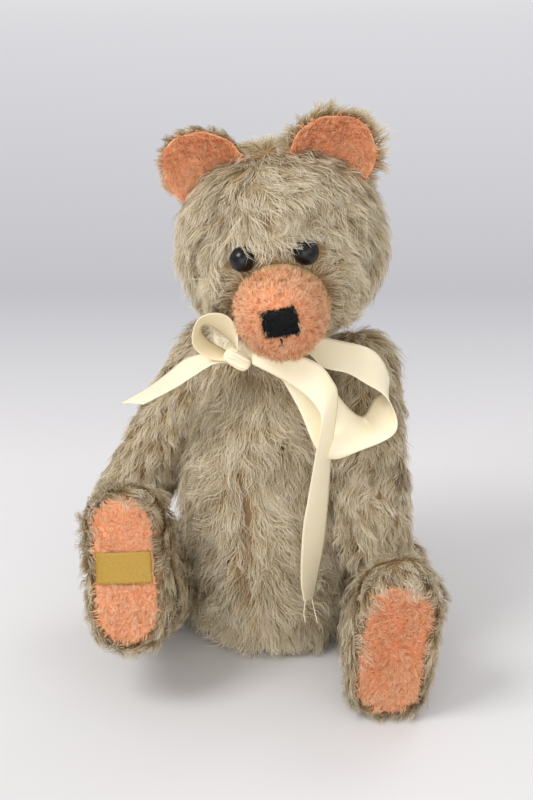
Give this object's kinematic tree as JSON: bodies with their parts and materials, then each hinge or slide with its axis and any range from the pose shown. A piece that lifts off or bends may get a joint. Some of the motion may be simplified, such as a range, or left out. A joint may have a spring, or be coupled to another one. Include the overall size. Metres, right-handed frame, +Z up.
{
  "type": "jointed teddy bear",
  "caption": "Seated plush bear with turning head, arms and legs, long wavy pile, plush muzzle, pads and ears, button eyes and a satin neck bow",
  "frame": {"origin": "middle of the flat seat under the torso", "axes": "+Z up along the torso, -Y the way the torso faces, +X the bear's left"},
  "size_m": [0.26, 0.2115, 0.366],
  "materials": {
    "mohair": "long, wavy, clumped mohair pile on a woven backing",
    "apricot_plush": "short dense apricot plush",
    "wood_wool": "packed wood wool",
    "hardboard": "pressed fibre board",
    "card": "stiff grey-brown card",
    "steel": "bright drawn wire and pressed washers",
    "boot_button": "glossy black",
    "black_felt": "dense black felt",
    "black_thread": "twisted black thread",
    "gold_weave": "fine blank damask weave with a satin face",
    "cream_satin": "soft satin ribbon"
  },
  "bodies": {
    "torso": {"body_washers": "steel", "left_arm_body_disc": "hardboard", "left_leg_body_disc": "hardboard", "neck_body_disc": "hardboard", "ribbon_knot": "cream_satin", "ribbon_large_loop": "cream_satin", "ribbon_long_tail": "cream_satin", "ribbon_neck_band": "cream_satin", "ribbon_short_tail": "cream_satin", "ribbon_small_loop": "cream_satin", "right_arm_body_disc": "hardboard", "right_leg_body_disc": "hardboard", "torso_skin": "mohair", "torso_stuffing": "wood_wool"},
    "head": {"head_skin": "mohair", "head_stuffing": "wood_wool", "left_ear_back": "mohair", "left_ear_front": "apricot_plush", "left_eye": "boot_button", "mouth_stitch": "black_thread", "muzzle": "apricot_plush", "neck_disc": "hardboard", "neck_split_pin": "steel", "neck_washer": "steel", "nose": "black_felt", "right_ear_back": "mohair", "right_ear_front": "apricot_plush", "right_eye": "boot_button"},
    "left_arm": {"left_arm_disc": "hardboard", "left_arm_skin": "mohair", "left_arm_split_pin": "steel", "left_arm_stuffing": "wood_wool", "left_arm_washer": "steel", "left_paw_pad": "apricot_plush"},
    "left_leg": {"left_foot_pad": "apricot_plush", "left_insole": "card", "left_leg_disc": "hardboard", "left_leg_skin": "mohair", "left_leg_split_pin": "steel", "left_leg_stuffing": "wood_wool", "left_leg_washer": "steel"},
    "right_arm": {"right_arm_disc": "hardboard", "right_arm_skin": "mohair", "right_arm_split_pin": "steel", "right_arm_stuffing": "wood_wool", "right_arm_washer": "steel", "right_paw_pad": "apricot_plush"},
    "right_leg": {"right_foot_pad": "apricot_plush", "right_insole": "card", "right_leg_disc": "hardboard", "right_leg_skin": "mohair", "right_leg_split_pin": "steel", "right_leg_stuffing": "wood_wool", "right_leg_washer": "steel", "woven_label": "gold_weave"}
  },
  "joints": [
    {"name": "neck_turn", "type": "hinge", "parent": "torso", "child": "head", "pos_m": [0.005, -0.001, 0.222], "axis": [0, 0, 1], "range_deg": [-180, 180], "deforming": ["ribbon_small_loop", "ribbon_large_loop", "ribbon_long_tail", "ribbon_short_tail"]},
    {"name": "left_shoulder", "type": "hinge", "parent": "torso", "child": "left_arm", "pos_m": [0.0348, 0.00868, 0.189], "axis": [-0.9491, -0.2366, -0.2079], "range_deg": [-60, 60]},
    {"name": "right_shoulder", "type": "hinge", "parent": "torso", "child": "right_arm", "pos_m": [-0.03701, 0.01347, 0.171], "axis": [-0.9156, 0.3333, 0.225], "range_deg": [-6, 50]},
    {"name": "left_hip", "type": "hinge", "parent": "torso", "child": "left_leg", "pos_m": [0.04374, 0.02133, 0.035], "axis": [-0.8939, -0.436, 0.1045], "range_deg": [-90, 2]},
    {"name": "right_hip", "type": "hinge", "parent": "torso", "child": "right_leg", "pos_m": [-0.04614, -0.01589, 0.036], "axis": [-0.9403, -0.3238, -0.1045], "range_deg": [-110, 12]}
  ]
}
